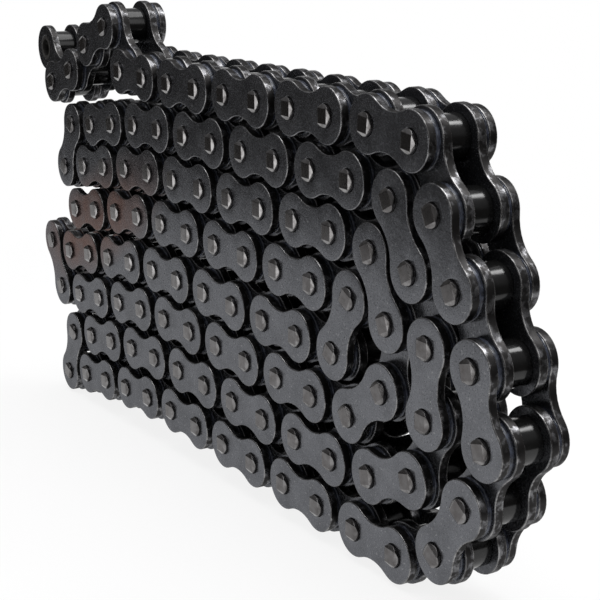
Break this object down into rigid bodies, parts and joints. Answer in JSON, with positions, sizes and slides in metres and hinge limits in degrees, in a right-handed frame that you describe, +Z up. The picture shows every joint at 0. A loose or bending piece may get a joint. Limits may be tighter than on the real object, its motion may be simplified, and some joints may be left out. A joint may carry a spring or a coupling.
{
  "type": "motorcycle chain",
  "caption": "Black sealed roller chain for a motorcycle, folded into a standing coil of nested rows, with its loose end looped over the top.",
  "frame": {"origin": "centre of the bounding box's foot, on the floor under the lowest row, midway between the near and far plates", "axes": "+X along the rows toward the outer right turn, +Y along the pins away from the near plates, +Z up"},
  "size_m": [0.245, 0.0192, 0.1282],
  "materials": {
    "plate": "black oxide, satin",
    "pin": "bare ground steel",
    "roller": "black oxide, oiled",
    "seal": "smooth black rubber"
  },
  "bodies": {
    "coil": {"coil_outer_plates_near": "plate", "coil_outer_plates_far": "plate", "coil_inner_plates_near": "plate", "coil_inner_plates_far": "plate", "coil_pins": "pin", "coil_bushes": "pin", "coil_rollers": "roller", "coil_seals_near": "seal", "coil_seals_far": "seal"},
    "inner_link_1": {"inner_link_1_plates": "plate", "inner_link_1_bushes": "pin"},
    "inner_link_1_roller_a": {"inner_link_1_roller_a": "roller"},
    "inner_link_1_roller_b": {"inner_link_1_roller_b": "roller"},
    "outer_link_1": {"outer_link_1_plates": "plate", "outer_link_1_pins": "pin", "outer_link_1_seals": "seal"},
    "inner_link_2": {"inner_link_2_plates": "plate", "inner_link_2_bushes": "pin"},
    "inner_link_2_roller_a": {"inner_link_2_roller_a": "roller"},
    "inner_link_2_roller_b": {"inner_link_2_roller_b": "roller"},
    "outer_link_2": {"outer_link_2_plates": "plate", "outer_link_2_pins": "pin", "outer_link_2_seals": "seal"},
    "inner_link_3": {"inner_link_3_plates": "plate", "inner_link_3_bushes": "pin"},
    "inner_link_3_roller_a": {"inner_link_3_roller_a": "roller"},
    "inner_link_3_roller_b": {"inner_link_3_roller_b": "roller"},
    "outer_link_3": {"outer_link_3_plates": "plate", "outer_link_3_pins": "pin", "outer_link_3_seals": "seal"},
    "inner_link_4": {"inner_link_4_plates": "plate", "inner_link_4_bushes": "pin"},
    "inner_link_4_roller_a": {"inner_link_4_roller_a": "roller"},
    "inner_link_4_roller_b": {"inner_link_4_roller_b": "roller"},
    "outer_link_4": {"outer_link_4_plates": "plate", "outer_link_4_pins": "pin", "outer_link_4_seals": "seal"},
    "inner_link_5": {"inner_link_5_plates": "plate", "inner_link_5_bushes": "pin"},
    "inner_link_5_roller_a": {"inner_link_5_roller_a": "roller"},
    "inner_link_5_roller_b": {"inner_link_5_roller_b": "roller"},
    "outer_link_5": {"outer_link_5_plates": "plate", "outer_link_5_pins": "pin", "outer_link_5_seals": "seal"},
    "inner_link_6": {"inner_link_6_plates": "plate", "inner_link_6_bushes": "pin"},
    "inner_link_6_roller_a": {"inner_link_6_roller_a": "roller"},
    "inner_link_6_roller_b": {"inner_link_6_roller_b": "roller"},
    "outer_link_6": {"outer_link_6_plates": "plate", "outer_link_6_pins": "pin", "outer_link_6_seals": "seal"}
  },
  "joints": [
    {"name": "outer_link_6_hinge", "type": "hinge", "parent": "coil", "child": "outer_link_6", "pos_m": [0.06119, 0, 0.1021], "axis": [0, 1, 0], "range_deg": [0, 25]},
    {"name": "inner_link_6_hinge", "type": "hinge", "parent": "outer_link_6", "child": "inner_link_6", "pos_m": [0.04534, 0, 0.10292], "axis": [0, 1, 0], "range_deg": [0, 25]},
    {"name": "outer_link_5_hinge", "type": "hinge", "parent": "inner_link_6", "child": "outer_link_5", "pos_m": [0.02949, 0, 0.10374], "axis": [0, 1, 0], "range_deg": [0, 25]},
    {"name": "inner_link_5_hinge", "type": "hinge", "parent": "outer_link_5", "child": "inner_link_5", "pos_m": [0.01363, 0, 0.10455], "axis": [0, 1, 0], "range_deg": [0, 25]},
    {"name": "outer_link_4_hinge", "type": "hinge", "parent": "inner_link_5", "child": "outer_link_4", "pos_m": [-0.00222, 0, 0.10537], "axis": [0, 1, 0], "range_deg": [0, 25]},
    {"name": "inner_link_4_hinge", "type": "hinge", "parent": "outer_link_4", "child": "inner_link_4", "pos_m": [-0.01808, 0, 0.10619], "axis": [0, 1, 0], "range_deg": [0, 25]},
    {"name": "outer_link_3_hinge", "type": "hinge", "parent": "inner_link_4", "child": "outer_link_3", "pos_m": [-0.03393, 0, 0.10709], "axis": [0, 1, 0], "range_deg": [0, 25]},
    {"name": "inner_link_3_hinge", "type": "hinge", "parent": "outer_link_3", "child": "inner_link_3", "pos_m": [-0.04974, 0, 0.10847], "axis": [0, 1, 0], "range_deg": [-1, 20]},
    {"name": "outer_link_2_hinge", "type": "hinge", "parent": "inner_link_3", "child": "outer_link_2", "pos_m": [-0.05938, 0, 0.12108], "axis": [0, 1, 0], "range_deg": [-1, 20]},
    {"name": "inner_link_2_hinge", "type": "hinge", "parent": "outer_link_2", "child": "inner_link_2", "pos_m": [-0.07436, 0, 0.11583], "axis": [0, 1, 0], "range_deg": [-2, 20]},
    {"name": "outer_link_1_hinge", "type": "hinge", "parent": "inner_link_2", "child": "outer_link_1", "pos_m": [-0.08808, 0, 0.10783], "axis": [0, 1, 0], "range_deg": [-4, 20]},
    {"name": "inner_link_1_hinge", "type": "hinge", "parent": "outer_link_1", "child": "inner_link_1", "pos_m": [-0.10344, 0, 0.10381], "axis": [0, 1, 0], "range_deg": [-50, 30]},
    {"name": "inner_link_1_roller_a_spin", "type": "hinge", "parent": "inner_link_1", "child": "inner_link_1_roller_a", "pos_m": [-0.11545, 0, 0.11419], "axis": [0, 1, 0], "continuous": true},
    {"name": "inner_link_1_roller_b_spin", "type": "hinge", "parent": "inner_link_1", "child": "inner_link_1_roller_b", "pos_m": [-0.10344, 0, 0.10381], "axis": [0, 1, 0], "continuous": true},
    {"name": "inner_link_2_roller_a_spin", "type": "hinge", "parent": "inner_link_2", "child": "inner_link_2_roller_a", "pos_m": [-0.08808, 0, 0.10783], "axis": [0, 1, 0], "continuous": true},
    {"name": "inner_link_2_roller_b_spin", "type": "hinge", "parent": "inner_link_2", "child": "inner_link_2_roller_b", "pos_m": [-0.07436, 0, 0.11583], "axis": [0, 1, 0], "continuous": true},
    {"name": "inner_link_3_roller_a_spin", "type": "hinge", "parent": "inner_link_3", "child": "inner_link_3_roller_a", "pos_m": [-0.05938, 0, 0.12108], "axis": [0, 1, 0], "continuous": true},
    {"name": "inner_link_3_roller_b_spin", "type": "hinge", "parent": "inner_link_3", "child": "inner_link_3_roller_b", "pos_m": [-0.04974, 0, 0.10847], "axis": [0, 1, 0], "continuous": true},
    {"name": "inner_link_4_roller_a_spin", "type": "hinge", "parent": "inner_link_4", "child": "inner_link_4_roller_a", "pos_m": [-0.03393, 0, 0.10709], "axis": [0, 1, 0], "continuous": true},
    {"name": "inner_link_4_roller_b_spin", "type": "hinge", "parent": "inner_link_4", "child": "inner_link_4_roller_b", "pos_m": [-0.01808, 0, 0.10619], "axis": [0, 1, 0], "continuous": true},
    {"name": "inner_link_5_roller_a_spin", "type": "hinge", "parent": "inner_link_5", "child": "inner_link_5_roller_a", "pos_m": [-0.00222, 0, 0.10537], "axis": [0, 1, 0], "continuous": true},
    {"name": "inner_link_5_roller_b_spin", "type": "hinge", "parent": "inner_link_5", "child": "inner_link_5_roller_b", "pos_m": [0.01363, 0, 0.10455], "axis": [0, 1, 0], "continuous": true},
    {"name": "inner_link_6_roller_a_spin", "type": "hinge", "parent": "inner_link_6", "child": "inner_link_6_roller_a", "pos_m": [0.02949, 0, 0.10374], "axis": [0, 1, 0], "continuous": true},
    {"name": "inner_link_6_roller_b_spin", "type": "hinge", "parent": "inner_link_6", "child": "inner_link_6_roller_b", "pos_m": [0.04534, 0, 0.10292], "axis": [0, 1, 0], "continuous": true}
  ]
}
